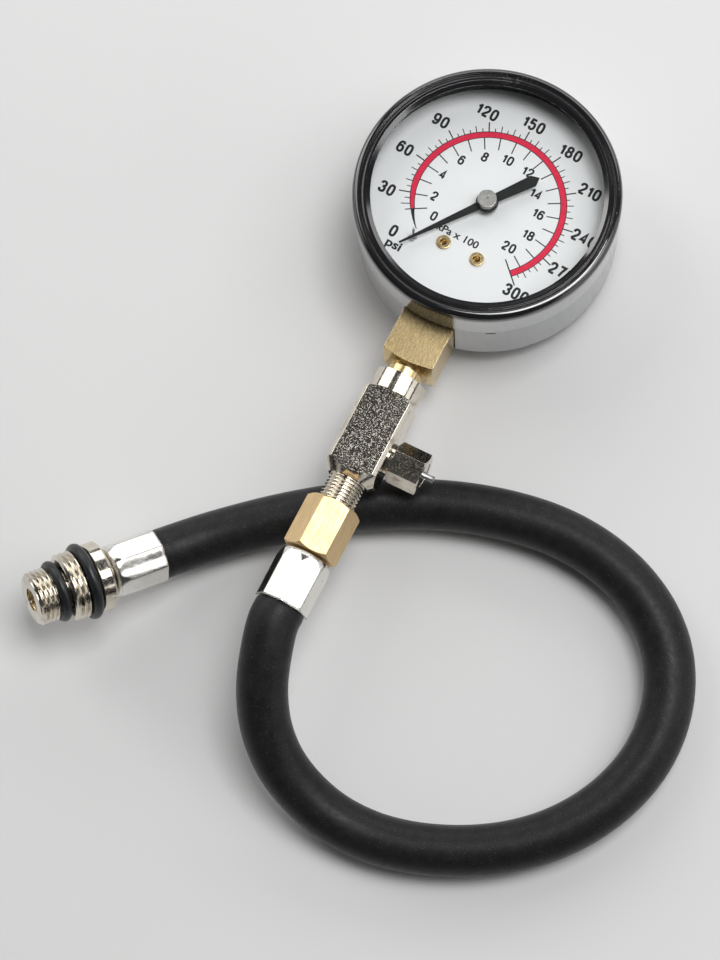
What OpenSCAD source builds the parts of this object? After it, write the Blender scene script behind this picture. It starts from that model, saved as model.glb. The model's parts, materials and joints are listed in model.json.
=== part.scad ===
/* [Gauge case] */
// Outside diameter of the bezel
bezel_d = 68; // [66:0.5:72]
// Width of the bezel's face, from its rim to its opening
bezel_face = 4.6; // [4.3:0.1:5]
// Height of the bezel's outer side
bezel_side = 2.6; // [2.3:0.1:3.2]
// Height of the gauge, from the case back to the bezel's front
gauge_h = 26.5; // [26.2:0.1:30]
// Thickness of the case wall and of its back
case_wall = 0.8; // [0.6:0.1:1]
// How far the lower part of the case lies inside the bezel's rim
case_inset = 0.4; // [0.3:0.05:0.5]
// Height of the step round the case
case_step_h = 15.9; // [15.2:0.1:17]
// Length of the small slot in the side of the case
case_slot_len = 2.5; // [1.5:0.1:4]
// Thickness of the lens
lens_t = 2; // [1.5:0.1:2.2]
// Thickness of the lens gasket
gasket_t = 0.5; // [0.4:0.05:0.7]
// Thickness of the bezel's front lip
bezel_lip = 1; // [0.8:0.05:1.2]

/* [Dial] */
// Depth of the dial's face below the front of the gauge
dial_drop = 9.4; // [8.5:0.1:9.5]
// Thickness of the dial plate
dial_t = 0.5; // [0.3:0.05:0.6]
// Turn of the dial against the stem, in degrees
dial_turn = -2.6; // [-4:0.2:4]
// Radius at which the two dial rivets sit
rivet_r = 14.9; // [14.4:0.1:15.2]
// Distance between the two dial rivets
rivet_gap = 9.6; // [8.8:0.1:10]
// Diameter of the rivets' flange
rivet_d = 3.8; // [3.4:0.1:4]
// Radius at which the stop pin stands
stop_r = 20.4; // [18:0.1:22]
// Diameter of the stop pin
stop_d = 0.66; // [0.5:0.02:0.8]

/* [Pointer] */
// Clockwise angle of the pointer at rest, from the top of the gauge
pointer_rest = 217.7; // [210:0.1:225]
// Reach of the pointer's tip
pointer_tip_r = 24.7; // [22:0.1:26]
// Reach of the pointer's tail
pointer_tail_r = 14.8; // [13:0.1:16]
// Width across the end of the tail
pointer_tail_w = 3.1; // [2.6:0.1:3.6]
// Width of the pointer where it leaves its hub
pointer_root_w = 2.3; // [2:0.1:2.6]
// Height of the pointer over the dial
pointer_lift = 2.1; // [2:0.1:2.4]
// Thickness of the pointer's blade
pointer_t = 0.3; // [0.2:0.05:0.4]
// Diameter of the pointer's cap
cap_d = 5; // [4.4:0.1:5.4]
// Height of the pointer's cap
cap_h = 1.75; // [1.6:0.05:1.9]

/* [Movement] */
// Tooth size of the pinion and the sector
gear_module = 0.28; // [0.27:0.005:0.29]
// Teeth on the pinion
pinion_teeth = 10; // [10:1:10]
// Teeth that a whole turn of the sector would have
sector_teeth = 90; // [86:1:92]
// Width of the sector gear
sector_t = 1.2; // [1:0.1:1.3]
// Thickness of the movement plates
plate_t = 1; // [0.8:0.05:1.1]
// Clear height between the movement plates
plate_gap = 4.2; // [4.1:0.05:4.4]
// Length of the sector's tail, from its arbor to its pin
tail_len = 6.5; // [6:0.1:7]
// Diameter of the tail pin and the tube tip's pin
link_pin_d = 1; // [0.9:0.05:1.1]
// Thickness of the link
link_t = 0.6; // [0.4:0.05:0.65]
// Mean radius of the pressure tube's curve
tube_r = 23; // [22.8:0.1:23.6]
// Height of the tube's flat section
tube_h = 8.4; // [7.6:0.1:8.6]
// Thickness of the tube's flat section
tube_w = 2.6; // [2.2:0.1:2.8]
// Wall of the tube
tube_wall = 0.3; // [0.2:0.05:0.4]

/* [Socket and tee] */
// Width of the square brass bar
block_w = 13.8; // [13.4:0.1:14]
// Distance from the gauge's centre to the end of the bar
block_end = 45.9; // [45:0.1:47]
// Distance from the gauge's centre to the start of the tee's collar
tee_start = 48.7; // [48:0.1:50]
// Length of the tee's round collar
tee_collar_len = 4.9; // [4:0.1:6]
// Diameter of the tee's round collar
tee_collar_d = 13.5; // [12.8:0.1:13.8]
// Length of the tee's square body
tee_len = 24.9; // [24:0.1:26]
// Width of the tee's square body
tee_w = 13.4; // [13:0.1:14]
// Width of the tee's flat faces between their chamfers
tee_flat = 11.5; // [11:0.1:12.4]
// Major diameter of the pipe thread
pipe_d = 9.7; // [9.3:0.05:9.9]
// Pitch of the pipe thread
pipe_pitch = 0.94; // [0.8:0.01:1.1]
// Length of pipe thread that shows between the tee and the brass hexagon
pipe_gap = 7; // [6:0.1:8]
// Diameter of the gas passages
passage_d = 3; // [2.4:0.1:3.4]
// Distance from the gauge's centre to the release valve's axis
valve_s = 68.7; // [68:0.1:70]

/* [Release valve] */
// Width across the flats of the valve's hexagon
valve_af = 9.6; // [9.2:0.1:10]
// Distance from the stem's axis to the outer end of the hexagon
valve_end = 16.5; // [16:0.1:17.4]
// Diameter of the plunger's stem
plunger_d = 1.6; // [1.4:0.05:2]
// How far the plunger stands out
plunger_out = 2.6; // [2:0.1:3.2]

/* [Hose and ferrules] */
// Outside diameter of the hose
hose_d = 13; // [12.8:0.1:13.2]
// Bore of the hose, over its barbs
hose_bore = 6.4; // [6.2:0.1:7]
// Outside diameter of the hose where the ferrules crimp it
crimp_d = 11.9; // [11.5:0.1:12.1]
// Width across the flats of the brass hexagon
hex_af = 12.7; // [12.2:0.1:13]
// Length of the brass hexagon
hex_len = 14.3; // [13:0.1:15]
// Length of the gauge-end ferrule
ferrule_len = 14.6; // [14:0.1:15.4]
// Width across the ferrules' flats
ferrule_af = 13.25; // [13:0.05:13.6]
// Largest diameter of the ferrules, over their corners
ferrule_d = 14.25; // [14:0.05:14.6]

/* [Plug end] */
// Major diameter of the small thread
thread_14_d = 13.9; // [13.6:0.05:14]
// Pitch of the small thread
thread_14_pitch = 1.25; // [1:0.05:1.3]
// Major diameter of the large thread
thread_18_d = 17.7; // [17.5:0.05:17.9]
// Pitch of the large thread
thread_18_pitch = 1.5; // [1.4:0.05:1.6]
// Section of the small O-ring
ring_14_t = 2.6; // [2.4:0.05:2.7]
// Section of the large O-ring
ring_18_t = 2.8; // [2.6:0.05:2.8]
// Outside diameter of the large O-ring
ring_18_d = 20; // [19.6:0.1:20.4]
// Outside diameter of the small O-ring
ring_14_d = 16; // [15.7:0.1:16.4]
// Length of the plug, from its tip to its ferrule
plug_len = 20.9; // [20.4:0.1:21.6]
// Length of the plug-end ferrule
plug_ferrule_len = 14.1; // [13.6:0.1:14.8]
// Diameter of the hole in the plug's tip
tip_hole_d = 6.2; // [5.8:0.1:6.6]

/* [Hidden] */
$fn = 64;

// Clearances
slip = 0.05;
play = 0.1;
seat = 0.1;

// Levels and radii of the gauge, from the case back
bezel_r = bezel_d / 2;
opening_r = bezel_r - bezel_face;
skirt_t = 0.7;
neck_r = bezel_r - skirt_t - play;
case_in_r = neck_r - case_wall;
case_r = bezel_r - case_inset;
step_out = 0.25;
case_top_r = case_r + step_out;
skirt_z = gauge_h - bezel_side;
lip_z = gauge_h - bezel_lip;
bezel_round = 1.5;
neck_z = lip_z - play;
gasket_z = lip_z - seat - gasket_t;
lens_z = gasket_z - seat - lens_t;
lens_r = case_in_r - 0.3;
dial_z = gauge_h - dial_drop;
dial_under = dial_z - dial_t;
spacer_z = dial_z + seat;
spacer_r = case_in_r - play;
spacer_in_r = spacer_r - 0.35;
dial_r = case_in_r - 2 * play;
back_round = 0.6;

// Square bar and stem axis
stem_z = case_wall + block_w / 2;
bar_under_dial = 2.6;
bar_top = dial_under - bar_under_dial;
ledge_start = 7;
ledge_end = 17.5;

// The tilt that the gauge has where its stem lies over the hose
rest_tilt = 7;
lift = (case_r - back_round) * sin(rest_tilt) + back_round * (1 - cos(rest_tilt));

// Distances along the stem, from the gauge's axis
tee_body_start = tee_start + tee_collar_len;
tee_end = tee_body_start + tee_len;
hex_start = tee_end + pipe_gap;
hex_end = hex_start + hex_len;
ferrule_start = hex_end + 0.3;
mouth_s = ferrule_start + ferrule_len;

// The origin lies under the middle of the rigid gauge and stem
front_y = bezel_r * cos(rest_tilt) + (gauge_h - bezel_round) * sin(rest_tilt);
rear_y = -mouth_s * cos(rest_tilt) + (stem_z - ferrule_d / 2) * sin(rest_tilt);
origin_y = -(front_y + rear_y) / 2;

// Levels of the movement: it takes its place between the case back and the dial
movement_h = 2 * plate_t + plate_gap;
ledge_z = case_wall + (dial_under - case_wall - movement_h) * 2 / 3;
back_plate_z = ledge_z;
between_z = back_plate_z + plate_t;
front_plate_z = between_z + plate_gap;
front_plate_top = front_plate_z + plate_t;
sector_z = front_plate_z - 2.3;
link_z = sector_z + sector_t + 0.2;
link_over_tube = 0.15;
tube_z = link_z - link_over_tube - tube_h / 2;
pointer_z = dial_z + pointer_lift;
hub_r = cap_d / 2 + 0.35;
hub_below = 0.3;
hub_above = 0.35;
cap_z = pointer_z + pointer_t + hub_above + slip;
arbor_r = 0.8;
pivot_r = 0.4;
arbor_top = cap_z + 0.9;

// Gears: the sector's arbor lies on a line at this angle from the gauge's axis
sector_side = -60;
pressure_angle = 25;
backlash = 0.07;
pinion_pitch_r = gear_module * pinion_teeth / 2;
sector_pitch_r = gear_module * sector_teeth / 2;
gear_distance = pinion_pitch_r + sector_pitch_r;
sector_at = gear_distance * [cos(sector_side), sin(sector_side)];
mesh_angle = sector_side + 180;
sector_travel = 31;
tail_angle = -42.5;
tail_at = sector_at + tail_len * [cos(tail_angle), sin(tail_angle)];
tail_hub_r = link_pin_d / 2 + 0.7;

// The pressure tube runs clockwise from the bar to its tip
tube_start = 258;
tube_stop = -8;
tip_stop = -16;
tip_angle = -12;
tip_at = tube_r * [cos(tip_angle), sin(tip_angle)];
tip_play = 0.32;
link_vector = tip_at - tail_at;
link_len = norm(link_vector);
link_angle = atan2(link_vector[1], link_vector[0]);

// Stop pin: it leans, and touches the pointer's side at the pointer's height
stop_lean = 12;
stop_top = pointer_z + 2.2;
stop_gap = 0.05;
tip_w = 0.45;
stop_half_w = pointer_half(stop_r);
stop_side = stop_half_w + stop_d / 2 / cos(stop_lean) + stop_gap;
stop_turn = atan2(stop_side, stop_r);

// Release valve, distances from the stem's axis
valve_seat_x = 6.5;
valve_shank_d = 6.4;
valve_shank_x = 2.7;
valve_bush_t = 1;
valve_bush_x = valve_end - valve_bush_t;
valve_web_x = valve_seat_x + 1.5;
valve_hole_r = plunger_d / 2 + play;
valve_head_r = plunger_d / 2 + 0.85;
chamber_r = valve_head_r + 0.25;
flange_t = 0.8;
seal_t = 0.8;
head_t = 1;
plunger_start = valve_seat_x - seal_t - head_t - slip;
plunger_end = valve_end + plunger_out;

// Plug end, distances from its tip
thread_14_len = 5.4;
ring_14_x = 6.75;
thread_18_start = 8.6;
thread_18_len = 4.5;
ring_18_x = 14.5;
collar_start = 16.2;
collar_len = 3.8;
collar_d = 18;
plug_mouth = plug_len + plug_ferrule_len;
ring_14_mid = (ring_14_d - ring_14_t) / 2;
ring_18_mid = (ring_18_d - ring_18_t) / 2;
plug_turn = 50.5;
plug_slope = 22.5;
plug_mouth_at = [-37.1, -113.9, 10.8];
plug_axis = [cos(plug_turn) * cos(plug_slope), sin(plug_turn) * cos(plug_slope), -sin(plug_slope)];
plug_tip_at = plug_mouth_at - plug_mouth * plug_axis;

// Check valve in the plug's tip, distances from the tip
check_x = 0.6;
check_len = 7.5;
check_wall = 0.35;
check_pin_r = 0.45;
check_web = 1;
check_seat_x = check_x + check_len;
check_travel = 1.2;
bore_step_x = check_seat_x + check_travel + 1.7;

// Hose: both ends run straight inside the ferrules
hose_sides = 12;
barb_r = hose_bore / 2 * cos(180 / hose_sides) - slip;
ferrule_neck_r = barb_r;
ferrule_web = 1.2;
stem_dir = [0, -cos(rest_tilt), sin(rest_tilt)];
function on_stem(s) = [0, stem_z * sin(rest_tilt), stem_z * cos(rest_tilt) + lift] + s * stem_dir;
function on_plug(x) = plug_tip_at + x * plug_axis;
hose_first = ferrule_start + ferrule_web;
hose_last = plug_len + ferrule_web;
hose_rest = hose_d / 2;
// Route between the ferrules, from the gauge's axis: x, y and height over the resting height
hose_points = [
    [1.5, -124, 18.6], [4.4, -133, 15.6], [9, -141, 11.2], [15.5, -147.2, 6.8],
    [23.5, -151.2, 3.3], [32.5, -153.4, 1.1], [42.5, -153.5, 0.1], [52, -151.7, 0],
    [61, -148.5, 0], [69.5, -144.2, 0], [77.3, -138.8, 0], [84.2, -132.2, 0],
    [89.9, -124.4, 0], [94, -115.8, 0], [96.3, -106.6, 0], [96.4, -97.2, 0],
    [94.2, -88, 0], [89.8, -79.8, 0], [83.4, -73.2, 0], [75.6, -68.4, 0],
    [67.2, -65.4, 0], [58.5, -63.9, 0], [49.5, -63.8, 0], [40.4, -65, 0],
    [31.2, -67.2, 0], [21.8, -70.4, 0], [12, -74.9, 0], [2, -80.4, 0],
    [-7, -86.4, 0], [-14.3, -91.9, 0], [-21.4, -97.8, 0], [-28.5, -104.3, 0.6]
];
crimp_r = crimp_d / 2;
bore_r = hose_bore / 2;
step_from = 0.1;
step_to = 0.6;
hose_path = concat(
    [on_stem(hose_first), on_stem(mouth_s + step_from), on_stem(mouth_s + step_to), on_stem(mouth_s + 4)],
    [for (p = hose_points) [p[0], p[1], p[2] + hose_rest]],
    [for (x = [plug_mouth + 4, plug_mouth + step_to, plug_mouth + step_from, hose_last]) on_plug(x)]
);
hose_rings = len(hose_path);
function hose_radius(i) = (i < 2 || i > hose_rings - 3) ? crimp_r : hose_d / 2;

// Width of the pointer at a distance from its axis, towards the tip
function pointer_half(r) = (pointer_root_w + (tip_w - pointer_root_w) * r / pointer_tip_r) / 2;

// Points on an arc
function arc(r, a0, a1, n = 24) = [for (i = [0:n]) let (a = a0 + (a1 - a0) * i / n) r * [cos(a), sin(a)]];
// A band between two radii and two angles
function band(r0, r1, a0, a1, n = 24) = concat(arc(r1, a0, a1, n), arc(r0, a1, a0, n));

// Frames
module placed() translate([0, origin_y, lift]) rotate([-rest_tilt, 0, 0]) children();
module on_dial() placed() rotate(dial_turn) children();
module stem() placed() translate([0, 0, stem_z]) rotate([90, 0, 0]) children();
module side_port() stem() translate([0, 0, valve_s]) rotate([0, 90, 0]) children();
module plug_end() translate([0, origin_y, 0]) translate(plug_tip_at)
    rotate([0, 90 + plug_slope, plug_turn]) children();

// A ring of material for a turned part: radii r0 to r1, heights z0 to z1
module turned(r0, r1, z0, z1) translate([r0, z0]) square([r1 - r0, z1 - z0]);

module tube(r0, r1, z0, z1) translate([0, 0, z0]) difference() {
    cylinder(r = r1, h = z1 - z0);
    translate([0, 0, -1]) cylinder(r = r0, h = z1 - z0 + 2);
}

module rod(r, z0, z1) translate([0, 0, z0]) cylinder(r = r, h = z1 - z0);

// A solid thread form of rings, from z0 to z1, with flat crests
module thread(d, pitch, z0, z1) {
    r = d / 2;
    depth = 0.6 * pitch;
    n = floor((z1 - z0) / pitch);
    start = z0 + (z1 - z0 - n * pitch) / 2;
    rotate_extrude() polygon(concat(
        [[0, z0], [r - depth, z0], [r - depth, start]],
        [for (i = [0:n - 1]) each [
            [r - depth, start + (i + 0.05) * pitch], [r, start + (i + 0.4) * pitch],
            [r, start + (i + 0.6) * pitch], [r - depth, start + (i + 0.95) * pitch]
        ]],
        [[r - depth, z1], [0, z1]]
    ));
}

// A bar with its ends turned to cones: r_end at both ends, full beyond the slopes
module turned_ends(r_full, z0, r0, rise0, z1, r1, rise1) rotate_extrude() polygon([
    [0, z0], [r0, z0], [r_full, z0 + rise0], [r_full, z1 - rise1], [r1, z1], [0, z1]
]);

module hexagon(af, z0, z1, chamfer0, chamfer1) intersection() {
    translate([0, 0, z0]) cylinder(d = af / cos(30), h = z1 - z0, $fn = 6);
    turned_ends(af * 0.6, z0, af / 2 - 0.1, chamfer0, z1, af / 2 - 0.1, chamfer1);
}

// Ribbed end that holds the hose: steps that rise towards the hexagon
module barbs(z0, z1, n = 5) {
    step = (z1 - z0) / n;
    rotate_extrude() polygon(concat(
        [[0, z0]],
        [for (i = [0:n - 1]) each [
            [barb_r, z0 + i * step], [barb_r, z0 + i * step + 0.4],
            [barb_r - 0.4, z0 + (i + 1) * step]
        ]],
        [[0, z1]]
    ));
}

// Crimped ferrule: closed end at z0, mouth at z1
module ferrule(z0, z1, turn) difference() {
    intersection() {
        translate([0, 0, z0]) rotate(turn) cylinder(d = ferrule_af / cos(22.5), h = z1 - z0, $fn = 8);
        rotate_extrude() polygon([
            [0, z0], [ferrule_af / 2 - 1.7, z0], [ferrule_af / 2 - 0.5, z0 + 0.45],
            [ferrule_af / 2 + 0.05, z0 + 1.2], [ferrule_d / 2, z0 + 3.4],
            [ferrule_d / 2, z1], [0, z1]
        ]);
    }
    rod(ferrule_neck_r + slip, z0 - 1, z1);
    rod(crimp_r + play, z0 + ferrule_web, z1 + 1);
}

// Gauge case and what closes it
module case() color("gainsboro") placed() difference() {
    rotate_extrude() difference() {
        union() {
            turned(0, case_r - back_round, 0, case_wall);
            translate([case_r - back_round, back_round]) circle(r = back_round);
            turned(case_in_r, case_r, back_round, case_step_h);
            turned(case_in_r, case_top_r, case_step_h, skirt_z - play);
            turned(case_in_r, neck_r, skirt_z - play, neck_z);
        }
        turned(case_in_r - 2 * back_round, case_in_r, case_wall, 2 * case_wall + back_round);
    }
    translate([-block_w / 2 - 2 * play, -bezel_d, case_wall])
        cube([block_w + 4 * play, bezel_d, block_w + 2 * play]);
    rotate(-62) translate([case_in_r - 1, -case_slot_len / 2, case_step_h - 1.7])
        cube([4, case_slot_len, 0.5]);
    for (y = screw_rows) translate([0, y, 0]) screw_cut();
}

module bezel() color("black") placed() rotate_extrude() difference() {
    union() {
        polygon([
            [opening_r, skirt_z], [bezel_r, skirt_z], [bezel_r, gauge_h - bezel_round],
            [bezel_r - bezel_round, gauge_h], [bezel_r - 1.7, gauge_h], [bezel_r - 2, gauge_h - 0.35],
            [bezel_r - 2.5, gauge_h - 0.35], [bezel_r - 2.8, gauge_h - 0.15],
            [opening_r + 1.1, gauge_h - 0.15], [opening_r, lip_z + 0.2]
        ]);
        intersection() {
            translate([bezel_r - bezel_round, gauge_h - bezel_round]) circle(r = bezel_round);
            turned(bezel_r - bezel_round, bezel_r, gauge_h - bezel_round, gauge_h);
        }
    }
    turned(0, bezel_r - skirt_t, 0, lip_z);
}

module lens() color("lightcyan", 0.3) placed() rotate_extrude() polygon([
    [0, lens_z], [lens_r, lens_z], [lens_r, gasket_z - seat - 0.3],
    [lens_r - 0.3, gasket_z - seat], [0, gasket_z - seat]
]);

module lens_gasket() color("dimgray") placed() tube(opening_r + 0.4, lens_r, gasket_z, gasket_z + gasket_t);

module spacer_ring() color("black") placed() rotate_extrude() {
    turned(spacer_in_r, spacer_r, spacer_z, lens_z - seat);
    turned(spacer_in_r - 0.8, spacer_r, lens_z - seat - 0.6, lens_z - seat);
}

// Two flush screws from the case back into the bar
screw_rows = [-21.5, -29.5];
screw_head_r = 2.8;
screw_r = 1.45;
screw_len = 4.4;
module screw_cut() {
    translate([0, 0, -1]) cylinder(r = screw_head_r + play, h = 1 + slip);
    translate([0, 0, slip]) cylinder(r1 = screw_head_r + play, r2 = screw_r + slip, h = 1.35);
    rod(screw_r + slip, 0, screw_len + 0.3);
}
module case_screws() color("silver") placed() for (y = screw_rows) translate([0, y, 0]) difference() {
    union() {
        translate([0, 0, slip]) cylinder(r1 = screw_head_r, r2 = screw_r, h = 1.35);
        rod(screw_r, slip, screw_len);
    }
    for (a = [0, 90]) rotate(a) translate([-1.5, -0.3, -1]) cube([3, 0.6, 1.7]);
}

// Dial, rivets and stop pin
rivet_y = -sqrt(rivet_r * rivet_r - rivet_gap * rivet_gap / 4);
rivet_xy = [for (side = [-1, 1]) [side * rivet_gap / 2, rivet_y]];
rivet_bore_r = rivet_d / 4;
rivet_shank_r = rivet_bore_r + 0.3;
post_r = rivet_shank_r + 0.65;
stop_at = stop_r * [sin(pointer_rest), cos(pointer_rest)]
    + stop_side * [cos(pointer_rest), -sin(pointer_rest)];
stop_foot = stop_at - [0, (pointer_z - dial_z) * tan(stop_lean)];

module dial_plate() color("white") placed() difference() {
    rod(dial_r, dial_under, dial_z);
    rod(2.2, 0, gauge_h);
    rotate(dial_turn) for (p = rivet_xy) translate(p) rod(rivet_shank_r + slip, 0, gauge_h);
    translate(stop_foot) rod(0.45, 0, gauge_h);
}

module dial_rivets() color("goldenrod") on_dial() for (p = rivet_xy) translate(p) difference() {
    rotate_extrude() {
        turned(0, rivet_d / 2 - 0.2, dial_z, dial_z + 0.4);
        translate([rivet_d / 2 - 0.2, dial_z + 0.2]) circle(r = 0.2);
        turned(0, rivet_shank_r, dial_z - dial_t - 1.2, dial_z);
    }
    rod(rivet_bore_r, 0, gauge_h);
}

module dial_posts() color("goldenrod") on_dial() for (p = rivet_xy) translate(p)
    tube(rivet_shank_r + slip, post_r, front_plate_top, dial_under);

module stop_pin() color("silver") placed() translate(stop_foot) {
    rod(1.1, dial_z, dial_z + 0.25);
    rod(0.4, dial_under - 0.2, dial_z);
    translate([0, 0, dial_z]) rotate([-stop_lean, 0, 0])
        cylinder(d = stop_d, h = (stop_top - dial_z) / cos(stop_lean));
}

// Pointer, drawn along +Y and turned to its rest
module pointer_frame() placed() rotate(-pointer_rest) children();

module pointer() color("black") pointer_frame() difference() {
    union() {
        translate([0, 0, pointer_z]) linear_extrude(pointer_t) polygon([
            [-tip_w / 2, pointer_tip_r], [tip_w / 2, pointer_tip_r],
            [pointer_root_w / 2, 0], [pointer_root_w / 2, -2],
            [pointer_tail_w / 2, -pointer_tail_r + 1.8], [0, -pointer_tail_r],
            [-pointer_tail_w / 2, -pointer_tail_r + 1.8], [-pointer_root_w / 2, -2],
            [-pointer_root_w / 2, 0]
        ]);
        rod(hub_r, pointer_z - hub_below, pointer_z + pointer_t + hub_above);
    }
    rod(arbor_r + 0.02, 0, gauge_h);
}

module pointer_cap() color("silver") pointer_frame() difference() {
    rotate_extrude() {
        turned(0, cap_d / 2, cap_z, cap_z + cap_h - 0.25);
        turned(0, cap_d / 2 - 0.25, cap_z, cap_z + cap_h);
        intersection() {
            translate([cap_d / 2 - 0.25, cap_z + cap_h - 0.25]) circle(r = 0.25);
            turned(0, cap_d, 0, gauge_h);
        }
    }
    rod(arbor_r + 0.02, 0, arbor_top + slip);
    rod(0.35, cap_z + cap_h - 0.35, gauge_h + 5);
}

// Involute teeth: the angle swept at radius r on base radius rb
function inv(rb, r) = let (t = sqrt(r * r / (rb * rb) - 1)) t * 180 / PI - atan(t);
function half_tooth(r, rp, rb, half_p) = half_p + inv(rb, rp) - inv(rb, max(r, rb));
function tooth(n, at, addendum, dedendum) =
    let (
        rp = gear_module * n / 2,
        rb = rp * cos(pressure_angle),
        half_p = 90 / n - backlash / 4 / rp * 180 / PI,
        ro = rp + addendum,
        rr = rp - dedendum,
        steps = 5,
        rs = [for (i = [0:steps]) max(rb, rr) + (ro - max(rb, rr)) * i / steps]
    )
    concat(
        [rr * [cos(at - half_tooth(rb, rp, rb, half_p)), sin(at - half_tooth(rb, rp, rb, half_p))]],
        [for (r = rs) let (h = half_tooth(r, rp, rb, half_p)) r * [cos(at - h), sin(at - h)]],
        [for (i = [steps:-1:0]) let (r = rs[i], h = half_tooth(r, rp, rb, half_p))
            r * [cos(at + h), sin(at + h)]],
        [rr * [cos(at + half_tooth(rb, rp, rb, half_p)), sin(at + half_tooth(rb, rp, rb, half_p))]]
    );

addendum = 0.85 * gear_module;
dedendum = 1.2 * gear_module;
pinion_z = sector_z - 0.2;
pinion_top = sector_z + sector_t + 0.2;
pinion_root_r = pinion_pitch_r - dedendum;

module pointer_arbor() color("slategray") placed() {
    rod(pivot_r, back_plate_z + 0.1, between_z + 0.1);
    rod(arbor_r, between_z + 0.1, pinion_z);
    rod(1.5, between_z + 0.2, between_z + 1);
    translate([0, 0, pinion_z]) linear_extrude(pinion_top - pinion_z)
        polygon([for (i = [0:pinion_teeth - 1])
            each tooth(pinion_teeth, sector_side + (i + 0.5) * 360 / pinion_teeth, addendum, dedendum)]);
    rod(arbor_r, pinion_top, arbor_top);
}

// Flat spiral spring on the arbor's collar
spring_turns = 4;
spring_in_r = 1.65;
spring_out_r = 5.2;
spring_t = 0.15;
spring_steps = 24;
stud_r = 0.4;
function spiral(offset) = [for (i = [0:spring_turns * spring_steps])
    let (f = i / spring_turns / spring_steps, r = spring_in_r + (spring_out_r - spring_in_r) * f + offset)
    r * [cos(360 * spring_turns * f), sin(360 * spring_turns * f)]];
function reversed(list) = [for (i = [len(list) - 1:-1:0]) list[i]];
module hairspring() color("lightsteelblue") placed() translate([0, 0, between_z + 0.3])
    linear_extrude(0.6) polygon(concat(spiral(0), reversed(spiral(spring_t))));

// Movement plates
plate_low = [-10.6, -ledge_end + 2 * play];
plate_high = [10.5, 7.5];
plate_corner = 2;
pillar_in = 2.2;
pillar_xy = [
    [plate_low[0] + plate_corner, plate_low[1] + plate_corner],
    [-8, plate_high[1] - pillar_in], [plate_high[0] - pillar_in, plate_high[1] - pillar_in]
];
pillar_r = 1.5;
tenon_r = 0.9;
tap_r = 0.6;
tap_depth = 3;
pillar_screw_len = 2.6;
ledge_screw_len = 3.6;
ledge_screw_x = 2.8;
ledge_screw_y = -12.4;

module plate_outline() {
    low = plate_low + [plate_corner, plate_corner];
    high = plate_high - [plate_corner, plate_corner];
    translate([plate_low[0], low[1]]) square([plate_high[0] - plate_low[0], high[1] - low[1]]);
    translate([low[0], plate_low[1]]) square([high[0] - low[0], plate_high[1] - plate_low[1]]);
    for (x = [low[0], high[0]], y = [low[1], high[1]]) translate([x, y]) circle(r = plate_corner);
}

module back_plate() color("goldenrod") placed() difference() {
    union() {
        translate([0, 0, back_plate_z]) linear_extrude(plate_t) plate_outline();
        translate([spring_out_r + spring_t + 0.1 + stud_r, 0, between_z - 0.1]) cylinder(r = stud_r, h = 1.2);
    }
    rod(pivot_r + slip, 0, gauge_h);
    translate(sector_at) rod(pivot_r + slip, 0, gauge_h);
    for (p = pillar_xy) translate(p) rod(tenon_r + slip, 0, gauge_h);
    for (side = [-1, 1]) translate([side * ledge_screw_x, ledge_screw_y]) rod(1.05, 0, gauge_h);
}

module front_plate() color("goldenrod") placed() difference() {
    translate([0, 0, front_plate_z]) linear_extrude(plate_t) plate_outline();
    rod(arbor_r + slip, 0, gauge_h);
    translate(sector_at) rod(pivot_r + slip, 0, gauge_h);
    for (p = pillar_xy) translate(p) rod(tap_r + slip, 0, gauge_h);
}

module pillars() color("goldenrod") placed() for (p = pillar_xy) translate(p) difference() {
    union() {
        rod(pillar_r, between_z, front_plate_z);
        rod(tenon_r, back_plate_z, between_z);
    }
    rod(tap_r + slip, front_plate_z - tap_depth, gauge_h);
}

module small_screw(r, head_r, head_t, z0, z1) difference() {
    union() {
        rod(r, z0, z1);
        rod(head_r, z1, z1 + head_t);
    }
    translate([-head_r - 1, -0.2, z1 + head_t / 2]) cube([2 * head_r + 2, 0.4, head_t]);
}

module pillar_screws() color("silver") placed() for (p = pillar_xy) translate(p)
    small_screw(tap_r, 1.3, 0.9, front_plate_z - pillar_screw_len, front_plate_top);

module ledge_screws() color("silver") placed() for (side = [-1, 1])
    translate([side * ledge_screw_x, ledge_screw_y])
        small_screw(1, 1.7, 1, ledge_z - ledge_screw_len, between_z);

// Sector gear, drawn about its own arbor
sector_hub_r = 1.9;
rim_in_r = sector_pitch_r - 2.2;
rim_low = mesh_angle - 38;
rim_high = mesh_angle + 10;
sector_arbor_r = 0.7;
sector_step = 360 / sector_teeth;

module sector_gear() color("gold") placed() translate(sector_at) {
    difference() {
        translate([0, 0, sector_z]) linear_extrude(sector_t) {
            circle(r = sector_hub_r);
            polygon(band(rim_in_r, sector_pitch_r - dedendum + 0.01, rim_low, rim_high, 16));
            for (a = [rim_low + 4, rim_high - 4]) rotate(a)
                translate([0, -0.8]) square([rim_in_r + 0.5, 1.6]);
            for (i = [-2:9]) polygon(tooth(sector_teeth, mesh_angle - i * sector_step, addendum, dedendum));
            rotate(tail_angle) {
                translate([0, -1.1]) square([tail_len, 2.2]);
                translate([tail_len, 0]) circle(r = tail_hub_r);
            }
        }
        rod(sector_arbor_r, 0, gauge_h);
        rotate(tail_angle) translate([tail_len, 0, 0]) rod(link_pin_d / 2, 0, gauge_h);
    }
}

module sector_arbor() color("slategray") placed() translate(sector_at) {
    rod(pivot_r, back_plate_z + 0.1, front_plate_top - 0.1);
    rod(sector_arbor_r, between_z + 0.1, front_plate_z - 0.1);
}

module tail_pin() color("slategray") placed() translate(tail_at)
    rod(link_pin_d / 2, sector_z, link_z + link_t + 0.1);

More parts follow.
